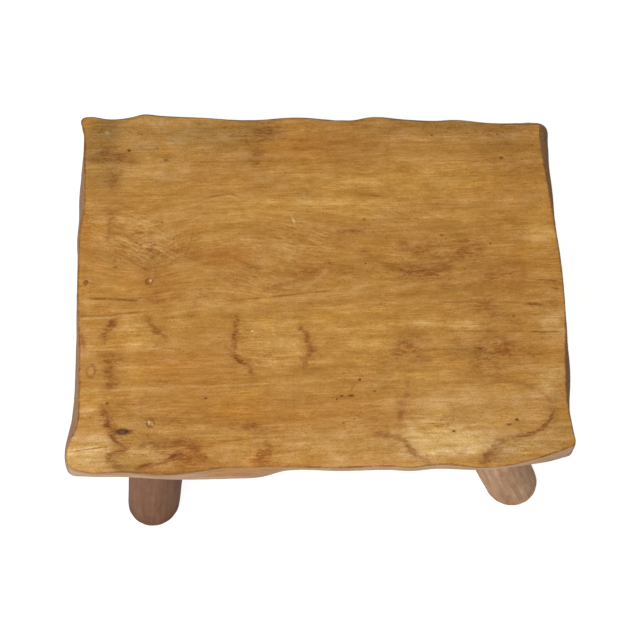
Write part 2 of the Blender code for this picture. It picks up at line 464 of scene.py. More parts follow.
def seatShape(piece):
    # moves the plain slab's points, whose height counts rings, to the plank's real places
    spots = points(piece)
    u = (spots[:, 0] + 1.0) / 2.0
    v = (spots[:, 1] + 1.0) / 2.0
    ring = np.rint(-spots[:, 2]).astype(int)
    along = seat["cellsAlong"]
    across = seat["cellsAcross"]
    column = np.rint(u * along).astype(int)
    row = np.rint(v * across).astype(int)
    index = np.where(row == 0, column, np.where(
        column == along, along + row, np.where(
            row == across, 2 * along + across - column, 2 * (along + across) - row)))
    index %= 2 * (along + across)

    angles, ((highRadius, highLevel), (lowRadius, lowLevel)) = rimLoops()
    turn = borderAngles(angles, highRadius)
    heading = np.stack((np.cos(turn), np.sin(turn)), 1)
    highReach = np.interp(turn, angles, highRadius, period=2 * math.pi)
    lowReach = np.interp(turn, angles, lowRadius, period=2 * math.pi)
    for pixelX, pixelY, halfLong, push in seat["rimTouches"].values():
        gap = heading * highReach[:, None] - seatPoint(pixelX, pixelY)
        highReach += push * np.exp(-(np.hypot(*gap.T) / halfLong) ** 2)
    rim = heading * highReach[:, None]
    apart = 3  # rim points to either side that give its direction
    tangent = np.roll(rim, -apart, 0) - np.roll(rim, apart, 0)
    outward = np.stack((tangent[:, 1], -tangent[:, 0]), 1)
    outward /= np.linalg.norm(outward, axis=1)[:, None]
    top = seatTop * metresToMm
    under = seatUnder * metresToMm

    def wall(level):
        share = (level - lowLevel) / (highLevel - lowLevel)
        return heading * (lowReach + (highReach - lowReach) * share)[:, None]

    edgeRound = seat["edgeRound"] + seat["edgeRoundVaries"] * ripple(11, seat["edgeRoundRun"], *rim.T)
    edgeDrop = seat["edgeDrop"] * (1.0 + seat["edgeDropVaries"] * ripple(12, seat["edgeDropRun"], *rim.T))
    edgeRound = np.clip(edgeRound, *seat["edgeRoundLimits"])
    edgeDrop = np.clip(edgeDrop, *seat["edgeDropLimits"])
    lowRound = np.full(len(rim), seat["lowRound"])

    rings = []
    for step in range(seat["edgeRings"] + 1):
        bend = math.pi / 2 * step / seat["edgeRings"]
        level = top - edgeDrop - edgeRound * (1.0 - math.cos(bend))
        place = wall(level) - outward * (edgeRound * (1.0 - math.sin(bend)))[:, None]
        rings.append((place, level))
    for step in range(1, seat["wallRings"]):
        share = step / seat["wallRings"]
        level = (top - edgeDrop - edgeRound) * (1.0 - share) + (under + lowRound) * share
        strokes = ripple(21, seat["shaveRun"], *rim.T, level * seat["shaveUpright"])
        marks = np.abs(strokes) - seat["shaveMean"]
        swell = math.sin(math.pi * share)
        depth = seat["wallBow"] * swell - seat["shaveDepth"] * marks * math.sqrt(swell)
        rings.append((wall(level) + outward * depth[:, None], level))
    for step in range(seat["lowRings"] + 1):
        bend = math.pi / 2 * step / seat["lowRings"]
        level = under + lowRound * (1.0 - math.sin(bend))
        place = wall(level) - outward * (lowRound * (1.0 - math.cos(bend)))[:, None]
        rings.append((place, level))

    lastRing = len(rings) - 1
    shaped = np.zeros_like(spots)
    for number, (place, level) in enumerate(rings):
        here = ring == number
        if number in (0, lastRing):
            shaped[here, :2] = coons(place, u[here], v[here])
            continue
        shaped[here, :2] = place[index[here]]
        shaped[here, 2] = level[index[here]]

    # the worn top sinks towards the rim and waves a little
    face = ring == 0
    x, y = shaped[face, :2].T
    rim, rimLevel = rings[0]
    inside, nearest = nearestRim(x, y, rim, every=4)
    wave = seat["topWave"] * (0.5 + 0.5 * np.tanh(ripple(31, seat["topWaveRun"], x, y)))
    wave *= smoothStep(0.0, seat["topWaveInwards"], inside)
    sink = edgeDrop[nearest] * np.exp(-inside / seat["edgeDropInwards"])
    border = (column[face] == 0) | (column[face] == along) | (row[face] == 0) | (row[face] == across)
    sink[border] = edgeDrop[index[face][border]]
    wave[border] = 0.0
    shaped[face, 2] = top - sink - wave
    shaped[ring == lastRing, 2] = under
    setPoints(piece, shaped / metresToMm)
    return np.column_stack((rim, rimLevel))


def addSeat():
    deselect()
    bpy.ops.mesh.primitive_grid_add(
        x_subdivisions=seat["cellsAlong"], y_subdivisions=seat["cellsAcross"], size=2.0)
    piece = bpy.context.object
    piece.name = "plank_seat"
    editAll(piece)
    for _ in range(seat["edgeRings"] + seat["wallRings"] + seat["lowRings"]):
        bpy.ops.mesh.extrude_region_move(TRANSFORM_OT_translate={"value": (0.0, 0.0, -1.0)})
    leaveEdit()
    rim = seatShape(piece)
    editAll(piece)
    bpy.ops.mesh.normals_make_consistent(inside=False)
    leaveEdit()
    print("seat shaped:", len(piece.data.vertices), "points")
    return piece, rim


# Legs: shaved round legs that splay outwards, each tenoned and wedged into the seat

leg = {
    "sides": 96,
    "rings": 72,
    "facets": 13,  # flats that the drawknife left
    "facetDepth": 0.22,
    "wander": 0.35,  # how far the flats turn about the leg, in radians, and over what run
    "wanderRun": 120.0,
    "wobble": 0.125,  # how uneven the leg is, over what run, as read at what radius
    "wobbleRun": 70.0,
    "wobbleRadius": 30.0,
    "footRound": 2.0,
    "roundSteps": 4,
    "longEdge": 0.05,  # in metres
    "overrun": 20.0,  # what is cut off or swallowed at the end of a cylinder
    "tenonSides": 64,
    "kerfGap": 0.3,
    # how the solid's points are told apart
    "sameLevel": 0.05,
    "shoulderBeyond": 20.0,  # further from the axis than the tenon
    "tenonAbove": 20.0,  # further along the axis than the shoulder
    "grainApart": 400.0,  # from one leg's grain to the next one's
    "shades": ((116, 81, 58), (153, 116, 88), (166, 130, 101), (184, 151, 122)),
    # shares of red, green and blue, because no two legs came from the same pole
    "tints": {
        "front_left": (0.77, 0.70, 0.655),
        "front_right": (1.13, 1.15, 1.14),
        "back_left": (0.94, 0.92, 0.90),
        "back_right": (0.90, 0.87, 0.84),
    },
    "streaks": {"front_left": 0.9, "front_right": 1.5, "back_left": 1.0, "back_right": 1.2},
    # how much darker each leg gets towards its foot
    "footDarkening": {"front_left": 0.6, "front_right": 0.1, "back_left": 0.4, "back_right": 0.3},
}


def legFrame(name):
    # the leg's axis and sizes, read from its solid: lengths in mm, origin at the shoulder's middle
    spots = np.unique(np.round(points(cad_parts[name + "_leg"]) * metresToMm, 3), axis=0)
    shoulder = seatUnder * metresToMm - seat["mortiseGap"]
    low = spots[spots[:, 2] < leg["sameLevel"]]
    high = spots[np.abs(spots[:, 2] - shoulder) < leg["sameLevel"]]
    footCentre = (low.min(0) + low.max(0)) / 2
    outer = high[np.hypot(*(high[:, :2] - high[:, :2].mean(0)).T) > leg["shoulderBeyond"]]
    headCentre = (outer.min(0) + outer.max(0)) / 2
    up = headCentre - footCentre
    up /= np.linalg.norm(up)
    across = np.cross(up, (1.0, 0.0, 0.0))
    across /= np.linalg.norm(across)
    along = np.cross(across, up)
    turn = np.stack((along, across, up), 1)
    local = (spots - headCentre) @ turn
    distance = np.hypot(local[:, 0], local[:, 1])
    bottom = ((footCentre - headCentre) @ turn)[2]
    tenon = local[:, 2] > leg["tenonAbove"]
    nearFoot = local[:, 2] < bottom * 0.7
    nearHead = (local[:, 2] > bottom * 0.3) & ~tenon
    wedge = points(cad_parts[name + "_wedge"]) * metresToMm
    return {
        "turn": turn,
        "origin": headCentre,
        "bottom": bottom,
        "footRadius": distance[nearFoot].max(),
        "headRadius": distance[nearHead].max(),
        "tenonRadius": distance[tenon].max(),
        "tenonTop": local[tenon, 2].max(),
        "wedge": (wedge - headCentre) @ turn,
        "floor": 0.0,
        "shoulder": shoulder,
    }


def placed(piece, shape):
    # from the leg's own frame, in mm, to the stool's, in metres
    setPoints(piece, (points(piece) @ shape["turn"].T + shape["origin"]) / metresToMm)


def trim(piece, height, clearAbove):
    editAll(piece)
    bpy.ops.mesh.bisect(
        plane_co=(0.0, 0.0, height), plane_no=(0.0, 0.0, 1.0), use_fill=True,
        clear_inner=not clearAbove, clear_outer=clearAbove)
    leaveEdit()


def roundEdge(piece, height, width):
    # rounds the edge of the flat cut at this height
    def onCut(face):
        return abs(face.center.z - height) < 1e-5 and abs(face.normal.z) > 0.99

    editOnly(piece, "FACE", onCut)
    bpy.ops.mesh.region_to_loop()
    bpy.ops.mesh.bevel(offset=width, segments=leg["roundSteps"], affect="EDGES")
    leaveEdit()


def addCylinder(sides, radius, low, high):
    deselect()
    bpy.ops.mesh.primitive_cylinder_add(
        vertices=sides, radius=radius, depth=high - low, location=(0.0, 0.0, (high + low) / 2))
    piece = bpy.context.object
    bpy.ops.object.transform_apply(location=True, rotation=True, scale=True)
    return piece


def ringLeg(piece):
    # splits the leg's long edges into short ones
    heights = points(piece)[:, 2]

    def isLong(edge):
        first, second = edge.vertices
        return abs(heights[first] - heights[second]) > leg["longEdge"]

    editOnly(piece, "EDGE", isLong)
    bpy.ops.mesh.subdivide(number_cuts=leg["rings"])
    leaveEdit()


def addLeg(name, number):
    shape = legFrame(name)
    floor = shape["floor"] / metresToMm
    shoulder = shape["shoulder"] / metresToMm
    piece = addCylinder(leg["sides"], shape["footRadius"], shape["bottom"] - leg["overrun"], leg["overrun"])
    piece.name = name + "_round_leg"
    placed(piece, shape)
    trim(piece, floor, clearAbove=False)
    trim(piece, shoulder, clearAbove=True)
    roundEdge(piece, floor, leg["footRound"] / metresToMm)
    roundEdge(piece, shoulder, leg["footRound"] / metresToMm)
    ringLeg(piece)

    # the shaved round: a slight taper, long flats that wander, and an uneven line
    spots = (points(piece) * metresToMm - shape["origin"]) @ shape["turn"]
    turn = np.arctan2(spots[:, 1], spots[:, 0])
    share = np.clip(spots[:, 2] / shape["bottom"], 0.0, 1.0)
    taper = shape["headRadius"] + (shape["footRadius"] - shape["headRadius"]) * share
    wander = leg["wander"] * ripple(50 + number, leg["wanderRun"], spots[:, 2])
    flats = np.abs(np.cos(leg["facets"] / 2 * (turn + wander)))
    aroundX = np.cos(turn) * leg["wobbleRadius"]
    aroundY = np.sin(turn) * leg["wobbleRadius"]
    uneven = ripple(60 + number, leg["wobbleRun"], spots[:, 2], aroundX, aroundY)
    radius = taper - leg["facetDepth"] * (1.0 - flats) + leg["wobble"] * uneven
    spots[:, :2] *= (radius / shape["footRadius"])[:, None]
    spots = spots @ shape["turn"].T + shape["origin"]
    spots[:, 2] = np.clip(spots[:, 2], shape["floor"], shape["shoulder"])
    setPoints(piece, spots / metresToMm)

    tenon = addCylinder(leg["tenonSides"], shape["tenonRadius"], -leg["overrun"], shape["tenonTop"])
    placed(tenon, shape)
    boolean(piece, tenon, "UNION")

    # the saw cut that takes the wedge
    wedge = shape["wedge"]
    tip = wedge[:, 2].min()
    nearTip = wedge[:, 2] < tip + 1.0
    gap = leg["kerfGap"]
    deselect()
    bpy.ops.mesh.primitive_cube_add(size=2.0)
    kerf = bpy.context.object
    corners = points(kerf)
    headWidth = np.abs(wedge[~nearTip, 0]).max() + gap
    tipWidth = np.abs(wedge[nearTip, 0]).max() + gap
    corners[:, 0] *= np.where(corners[:, 2] > 0, headWidth, tipWidth)
    corners[:, 1] *= shape["tenonRadius"] + gap
    corners[:, 2] = np.where(corners[:, 2] > 0, wedge[:, 2].max() + gap, tip - gap)
    setPoints(kerf, corners)
    placed(kerf, shape)
    boolean(piece, kerf, "DIFFERENCE")

    smoothEdges(piece)
    local = (points(piece) * metresToMm - shape["origin"]) @ shape["turn"]
    local[:, 2] += number * leg["grainApart"]
    setAttribute(piece, "legGrain", local)
    return piece, shape


def cutMortises(piece, shapes):
    gap = seat["mortiseGap"]
    bores = []
    for shape in shapes:
        low = -leg["overrun"]
        high = shape["tenonTop"] + gap
        bore = addCylinder(leg["tenonSides"], shape["tenonRadius"] + gap, low, high)
        placed(bore, shape)
        bores.append(bore)
    pick(bores[0])
    for bore in bores:
        bore.select_set(True)
    bpy.ops.object.join()
    boolean(piece, bores[0], "DIFFERENCE", "MANIFOLD")
    print("mortises cut")


# Marks on the seat's top, by where the photo shows them.
# Lines are pixel points, then half width in mm and strength.
# Patches are pixel x, pixel y, half length and half width in mm, strength, and a tilt in degrees if any.
# Spots, rings and specks are the same without a tilt.

stains = {
    "lineFade": 7.0,  # how far a line's ends fade, in mm
    "lineReach": (6.0, 8.5),  # where a line's halo starts to fade, and where it ends, in mm
    "patchBends": ((34.0, 3.6, 1.8), (13.0, 1.6, 0.9)),  # waves: their length, and reach along and across
    "patchFirm": 12.0,  # a patch narrower than this bends less
    "patchFade": (1.3, 0.7),  # how sharply and how soon a patch fades
    "tides": {
        "left pool top": (((118, 316), (113, 324), (105, 333), (103, 342), (106, 347)), 1.9, 1.0),
        "left pool blot": (((97, 353), (104, 356), (112, 355), (124, 357)), 2.2, 0.55),
        "left pool stem": (((110, 359), (109, 371), (111, 383), (106, 394)), 2.4, 0.6),
        "left pool right": (((143, 313), (151, 326), (159, 332), (165, 338), (168, 344)), 1.4, 0.85),
        "left pool right low": (((164, 338), (157, 344), (149, 352)), 1.2, 0.4),
        "pond left": (
            ((237, 312), (236, 330), (234, 346), (230, 353), (241, 362), (249, 368), (253, 380)), 1.7, 1.0),
        "pond right": (((296, 322), (306, 334), (312, 350), (304, 360), (302, 376)), 2.0, 0.85),
        "pond top": (((238, 329), (258, 331), (286, 331)), 0.9, 0.35),
        "corner foot": (((99, 403), (104, 412), (107, 422), (110, 431), (120, 434)), 2.3, 1.0),
        "corner bend": (((107, 430), (116, 441), (126, 450), (114, 453), (102, 458)), 1.5, 1.15),
        "corner bend foot": (((102, 455), (113, 463), (128, 471)), 2.4, 0.7),
        "corner hook top": (((135, 452), (144, 444), (160, 441)), 1.6, 0.7),
        "corner hook": (((182, 448), (174, 456), (167, 461), (158, 464), (146, 465), (132, 471)), 1.3, 1.2),
        "ring upper": (((484, 374), (505, 380), (522, 383), (538, 390), (548, 397), (554, 405)), 1.2, 0.5),
        "ring lower": (((555, 408), (552, 417), (546, 425), (538, 431), (526, 435), (505, 438)), 1.4, 1.0),
        "ring foot": (((512, 437), (497, 443), (487, 454), (480, 468)), 2.4, 0.75),
        "ring left": (((368, 433), (391, 435), (404, 440), (411, 450), (421, 460), (436, 466)), 2.1, 0.8),
        "ring inner": (((406, 374), (410, 390), (402, 402), (400, 422), (392, 433)), 2.2, 0.4),
        "reddish upright": (((113, 212), (110, 226), (108, 246)), 1.2, 0.6),
    },
    "darkStreaks": {
        "arch low": (((183, 263), (205, 256), (226, 254), (246, 263), (264, 271)), 2.6, 0.35),
        "corner crack": (((67, 452), (90, 449), (111, 446)), 0.6, 1.0),
        "right end upper": (((526, 279), (561, 281)), 0.9, 0.9),
        "right end short": (((548, 287), (562, 289)), 0.8, 0.9),
        "right end wedge": (((522, 303), (548, 305)), 1.5, 1.2),
        "right end lower": (((500, 331), (566, 332)), 0.7, 0.9),
        "right middle": (((440, 331), (505, 331)), 0.6, 0.8),
        "right thin": (((440, 302), (525, 302)), 0.6, 0.6),
        "short rise": (((182, 259), (188, 250), (190, 243), (194, 231)), 0.8, 0.4),
        "arch": (((203, 198), (230, 194), (244, 198)), 0.7, 0.9),
        "swirl": (((258, 292), (300, 280), (332, 260)), 2.0, 0.35),
        "rising": (((226, 301), (280, 296), (334, 290)), 0.9, 0.7),
        "left high": (((84, 298), (110, 299), (142, 301)), 1.2, 0.9),
        "left low": (((76, 316), (110, 315), (146, 311)), 0.8, 0.7),
        "hand upper": (((113, 227), (135, 231), (160, 234)), 1.0, 0.5),
        "hand fall": (((114, 241), (130, 249), (148, 260)), 1.0, 0.7),
        "hand end": (((140, 243), (156, 250), (170, 259)), 0.9, 0.6),
        "hand stem": (((115, 246), (116, 256), (113, 266)), 1.0, 0.8),
        "left notch": (((77, 212), (83, 213), (90, 216)), 0.9, 1.3),
        "hand lower": (((116, 252), (134, 262), (150, 272)), 1.3, 0.6),
        "thread": (((360, 380), (353, 386), (350, 394)), 0.6, 0.9),
        "flecks": (((336, 230), (366, 232)), 1.2, 0.8),
        "short brown": (((364, 195), (390, 197)), 1.4, 0.6),
        "back streak": (((228, 136), (252, 136)), 1.0, 0.8),
        "smile": (((362, 249), (380, 262), (402, 271), (424, 276), (456, 265)), 2.4, 0.3),
        "knot tail": (((118, 431), (128, 431), (140, 429)), 1.0, 0.8),
    },
    "lightStreaks": {
        "swirl ring": (((264, 264), (270, 251), (283, 246), (291, 255), (285, 269)), 2.4, 0.15),
        "swirl rise": (((300, 292), (316, 280), (331, 267)), 2.2, 0.35),
        "hand top": (((112, 217), (130, 219), (160, 224)), 1.3, 0.45),
        "hand middle": (((112, 236), (126, 241), (146, 249)), 1.2, 0.45),
        "hand bottom": (((146, 244), (160, 250), (172, 257)), 1.2, 0.5),
        "middle fall": (((282, 239), (297, 243), (312, 246)), 1.1, 0.5),
        "arch under": (((188, 206), (205, 201), (220, 199)), 1.4, 0.35),
        "left line": (((77, 319), (110, 318), (145, 314)), 1.0, 0.4),
        "rise": (((153, 318), (190, 310), (234, 302)), 1.5, 0.3),
        "long front": (((76, 391), (156, 388), (240, 385), (336, 380)), 0.8, 0.3),
        "sapwood": (((178, 436), (300, 435), (425, 433)), 0.8, 0.3),
        "left scratch": (((144, 348), (163, 349)), 0.8, 0.9),
        "right band": (((412, 322), (450, 325), (482, 327)), 1.2, 0.45),
        "right scratch": (((443, 165), (456, 167)), 0.6, 0.9),
        "thin scratch": (((322, 204), (346, 204)), 0.6, 0.6),
        "slant": (((370, 214), (402, 221)), 1.0, 0.4),
        "left short": (((88, 205), (124, 206)), 0.8, 0.5),
        "white nick": (((291.6, 216), (295, 224)), 0.9, 2.0),
        "front corner": (((68, 443), (112, 439)), 1.4, 0.4),
        "right high": (((505, 239), (556, 236)), 1.0, 0.25),
        "back band": (((320, 177), (345, 181), (386, 183)), 1.6, 0.3),
    },
    # how much less than the rest a line jags
    "steady": {
        "ring upper": 1.8,
        "ring lower": 2.0,
        "ring foot": 1.6,
        "ring left": 1.6,
        "ring inner": 1.5,
        "corner foot": 1.4,
        "corner bend": 2.0,
        "corner bend foot": 1.2,
        "corner hook": 2.0,
        "corner hook top": 1.4,
    },
    "smoky": {
        "left end high": (97, 148, 10, 8, 0.3),
        "ring middle": (455, 420, 14, 7, 0.25),
        "back left cloud": (102, 131, 17, 11, 0.8),
        "back left smudge": (110, 157, 16, 8, 0.45),
        "left end": (95, 168, 14, 16, 0.3),
        "smudge below": (112, 179, 9, 9, 0.35),
        "back haze left": (160, 128, 46, 10, 0.2),
        "back haze": (210, 138, 40, 12, 0.38),
        "back patch": (252, 130, 20, 10, 0.3),
        "back patch low": (250, 156, 14, 10, 0.18),
        "back right": (430, 126, 56, 9, 0.4),
        "back corner": (508, 140, 28, 16, 0.2),
        "dot cloud": (166, 160, 5, 3, 0.3),
        "back middle left": (148, 149, 13, 7, 0.3),
        "under smudges": (164, 181, 12, 5, 0.25),
        "smile middle": (432, 268, 26, 8, 0.2, 4),
        "right middle": (470, 352, 18, 6, 0.3),
        "left middle": (153, 262, 9, 7, 0.25, -20),
        "right end": (557, 410, 6, 18, 0.35),
        "ring foot": (496, 450, 14, 11, 0.3),
        "front right": (534, 446, 22, 10, 0.28, 8),
        "front left": (150, 446, 34, 12, 0.25),
        "front corner": (128, 464, 22, 6, 0.35),
        "chip": (146, 420, 12, 7, 0.2),
    },
    "brown": {
        "pool blot": (102, 356, 5, 4, 0.3),
        "pool fan": (122, 361, 12, 3, 0.4, -3),
        "left rim": (82, 332, 3, 14, 0.6),
        "hook": (162, 451, 10, 5, 0.4),
        "front middle": (371, 420, 14, 6, 0.3),
        "hand streak": (147, 245, 12, 7, 0.8, -25),
        "below hand": (160, 278, 11, 8, 0.35),
        "below hand low": (146, 299, 13, 7, 0.4),
        "left low": (202, 292, 20, 7, 0.3),
        "swirl left": (234, 277, 14, 7, 0.3),
        "back low": (370, 148, 18, 7, 0.3),
        "low left top": (162, 388, 12, 6, 0.3),
        "knot top": (130, 404, 10, 6, 0.3),
        "left smudge": (112, 156, 13, 6, 0.8),
        "left lower": (113, 180, 7, 7, 0.6),
        "back patch": (264, 130, 8, 9, 0.75),
        "back patch low": (258, 157, 9, 9, 0.75),
        "back middle": (360, 123, 44, 5, 0.2),
        "back corner": (492, 132, 24, 12, 0.3),
        "back corner low": (510, 164, 20, 7, 0.35),
        "middle left": (180, 251, 16, 8, 0.3),
        "hand top": (113, 212, 9, 7, 0.65),
        "hand palm": (153, 262, 9, 7, 0.35, -20),
        "hand foot": (116, 258, 6, 4, 0.4),
        "smile left": (390, 266, 22, 6, 0.2, -30),
        "smile middle": (430, 274, 20, 8, 0.75, 4),
        "smile right": (463, 250, 15, 9, 0.85, 8),
        "warm right": (494, 278, 19, 9, 0.5),
        "right of warm": (484, 302, 14, 7, 0.4),
        "arc top": (422, 247, 15, 7, 0.65),
        "right patch left": (408, 350, 15, 11, 0.75),
        "right patch": (488, 350, 16, 11, 0.8),
        "right patch end": (513, 350, 17, 9, 0.35),
        "right patch low": (492, 372, 18, 7, 0.35),
        "front left rust": (189, 455, 11, 12, 0.9),
        "front left rust top": (176, 444, 12, 6, 0.35),
        "front brown": (262, 428, 10, 5, 0.85),
        "front brown left": (240, 428, 8, 4, 0.4),
        "front brown low": (261, 454, 8, 8, 1.0),
        "front flat": (190, 420, 30, 8, 0.25),
        "foot mark": (107, 424, 6, 10, 0.5),
        "ring foot": (490, 456, 8, 9, 0.6),
        "ring inner": (400, 414, 6, 14, 0.35, -10),
        "low left": (111, 374, 8, 16, 0.5),
        "pond left": (234, 348, 5, 10, 0.35),
        "pond low": (256, 358, 10, 7, 0.35),
        "pond right": (306, 354, 8, 12, 0.55),
        "front lip": (244, 476, 28, 9, 0.4),
        "middle flecks": (350, 231, 15, 3, 0.4),
        "right end": (548, 302, 12, 6, 0.3),
        "right upper": (494, 318, 24, 8, 0.35),
        "swirl": (300, 276, 18, 6, 0.25, 16),
    },
    "amber": {
        "right cloud": (494, 282, 14, 10, 0.45),
        "back": (285, 150, 34, 10, 0.55),
        "back right": (336, 145, 30, 12, 0.65),
        "upper left": (208, 182, 24, 7, 0.6),
        "middle left": (210, 255, 22, 9, 0.95),
        "swirl": (312, 270, 20, 7, 0.5, 16),
        "left": (92, 240, 9, 36, 0.4),
        "left below hand": (157, 287, 20, 14, 0.65),
        "middle": (242, 262, 16, 9, 0.6),
        "low left": (190, 366, 34, 18, 0.6),
        "low middle": (300, 410, 60, 14, 0.5),
        "low left front": (205, 410, 36, 10, 0.45),
        "right": (370, 245, 40, 12, 0.35),
        "warm right": (526, 264, 30, 12, 0.6),
        "right end": (548, 350, 14, 7, 0.6),
        "front rust": (190, 458, 14, 12, 0.9),
        "front lip": (244, 476, 26, 9, 0.8),
        "right high": (505, 200, 40, 14, 0.4),
        "middle right": (390, 200, 40, 8, 0.2),
    },
    "golden": {
        "low middle": (244, 408, 20, 10, 0.45),
        "left band": (124, 292, 16, 6, 0.6),
        "back middle": (306, 165, 18, 6, 0.4),
        "right of pond": (324, 356, 12, 9, 0.45),
        "under smudges": (132, 171, 16, 5, 0.45),
        "under smudges low": (134, 190, 15, 5, 0.3),
        "hand": (130, 226, 14, 9, 0.35, -5),
        "hand low": (124, 242, 12, 4, 0.4, -22),
        "hand end": (158, 250, 12, 5, 0.25, -22),
        "upper middle": (260, 206, 36, 9, 0.75),
        "upper left": (186, 200, 18, 7, 0.35),
        "upper right": (345, 180, 36, 6, 0.65),
        "upper right low": (345, 204, 34, 10, 0.95),
        "right high": (418, 180, 38, 14, 1.0),
        "right band": (445, 215, 34, 6, 0.35),
        "right end": (540, 228, 16, 22, 0.8),
        "middle": (236, 226, 24, 8, 0.3),
        "swirl left": (258, 301, 24, 6, 0.2, 8),
        "left pool": (132, 332, 13, 16, 0.7),
        "left pool low": (130, 372, 12, 7, 0.35),
        "left low": (98, 398, 14, 8, 0.45),
        "pond": (278, 345, 22, 18, 0.4),
        "pond top": (274, 324, 18, 7, 0.55),
        "between patches": (438, 352, 7, 12, 0.4),
        "centre": (345, 318, 40, 12, 0.6, 2),
        "centre low": (364, 346, 16, 12, 0.65),
        "right streak": (446, 325, 34, 6, 0.65),
        "low right": (418, 378, 20, 7, 0.45),
        "bend": (140, 454, 14, 6, 0.6),
        "left streak": (190, 315, 20, 8, 0.55, 8),
        "right middle": (488, 195, 20, 18, 0.4),
    },
    "bleached": {
        "hook": (148, 455, 12, 8, 0.25),
        "dot band": (158, 167, 20, 7, 0.2),
        "under smudges": (131, 181, 12, 6, 0.15),
        "swirl": (242, 243, 14, 6, 0.15),
        "front left corner": (88, 455, 18, 14, 0.85),
        "back spot": (107, 132, 3, 2, 0.35),
        "left pool": (138, 327, 12, 9, 0.25),
        "pond": (275, 350, 20, 14, 0.12),
        "right end": (556, 325, 9, 14, 0.3),
        "ring": (474, 402, 50, 16, 0.27),
        "ring left": (431, 420, 14, 14, 0.24),
        "right streak": (442, 324, 22, 6, 0.12),
        "ring front": (440, 443, 32, 11, 1.0),
        "ring front right": (470, 440, 18, 9, 0.5),
        "front middle": (346, 446, 42, 10, 0.3),
        "front left": (96, 416, 10, 8, 0.25),
        "front right": (522, 444, 24, 9, 0.42, 8),
        "right rim": (550, 376, 12, 10, 0.4),
        "ring right": (538, 409, 14, 12, 0.2),
        "left end": (88, 330, 7, 20, 0.15),
        "chip": (150.4, 423, 2.4, 2.4, 0.15),
        "back haze": (172, 135, 40, 16, 0.22),
    },
    "oiledWall": {
        "front": (256, 474, 32, 16, 1.3),
        "back right": (546, 142, 14, 24, 0.7),
    },
    "scratched": {
        "hand": (134, 236, 25, 22, 0.8),
        "hand end": (166, 252, 16, 10, 0.7),
        "middle": (300, 240, 26, 16, 0.55),
        "swirl": (270, 275, 30, 16, 0.4),
        "right": (395, 215, 30, 12, 0.3),
    },
    "spots": {
        "back left": (128.9, 150.3, 2.0, 1.6, 0.85),
        "back right": (501.3, 158.0, 2.2, 1.7, 0.8),
        "ring": (517.0, 419.5, 1.9, 1.5, 0.9),
        "ring left": (509.4, 424.3, 2.4, 1.1, 0.75),
        "back pin": (431.6, 135.1, 1.0, 0.9, 1.0),
        "corner pin": (531.8, 144.6, 0.9, 0.8, 0.7),
        "right pin 1": (466.2, 169.0, 0.8, 0.7, 0.7),
        "right pin 2": (474.1, 181.6, 0.9, 0.7, 0.7),
        "right pin 3": (468.8, 200.6, 0.8, 0.7, 0.6),
        "right pin 4": (513.7, 221.0, 0.9, 0.7, 0.6),
        "right pin 5": (490.3, 243.1, 1.1, 0.9, 0.9),
        "right pin 6": (480.5, 248.0, 1.0, 0.7, 0.6),
        "smile top": (441.7, 235.4, 2.2, 1.1, 0.65),
        "middle": (364.2, 219.0, 1.6, 1.1, 0.6),
        "smile": (437.4, 275.0, 1.8, 0.9, 0.8),
        "smile left": (365.6, 263.4, 0.9, 0.8, 0.8),
        "right worm": (513.5, 315.8, 1.0, 0.8, 0.95),
        "thread top": (360.0, 379.5, 1.4, 1.1, 1.0),
        "thread foot": (351.0, 395.6, 3.0, 1.1, 0.95),
        "thread left": (341.9, 395.9, 1.6, 0.8, 0.85),
        "thread end": (336.7, 398.8, 1.1, 0.9, 0.85),
        "thread right": (374.6, 391.0, 1.7, 1.1, 0.65),
        "ring front": (454.0, 430.9, 1.6, 0.9, 0.9),
        "front 1": (343.6, 423.0, 1.4, 0.9, 0.6),
        "front 2": (354.0, 419.0, 0.8, 0.7, 0.7),
        "corner": (107.4, 403.3, 1.4, 1.1, 0.9),
        "low left": (160.0, 381.0, 1.1, 0.8, 0.5),
        "low middle": (206.0, 398.3, 1.6, 1.0, 0.9),
        "cloud": (166.0, 160.0, 2.2, 1.6, 0.6),
        "hand": (162.0, 222.0, 1.6, 0.9, 0.5),
        "left rim": (85.8, 282.6, 1.9, 1.7, 0.55),
        "hand foot": (147.6, 283.4, 2.2, 2.0, 0.6),
        "hand edge": (115.5, 267.0, 2.2, 1.6, 0.5),
    },
    "knot": (122.5, 431.8, 7.0, 2.9, 1.0),
    "rings": {
        "left": (91.0, 371.0, 3.2, 5.0, 0.9),
        "left rim": (85.8, 282.4, 1.7, 1.6, 1.2),
        "hand": (149.0, 281.5, 2.6, 2.8, 1.0),
        "chip": (150.4, 423.0, 2.8, 3.0, 0.9),
    },
    "paleSpecks": {
        "hand": (150.6, 280.4, 1.3, 1.6, 0.6),
        "chip": (148.9, 422.2, 1.0, 1.9, 0.5),
        "chip right": (152.2, 424.2, 0.9, 1.4, 0.4),
        "pond": (252.2, 331.0, 1.2, 0.9, 0.8),
        "back left": (107.0, 132.4, 1.8, 1.3, 0.25),
    },
}


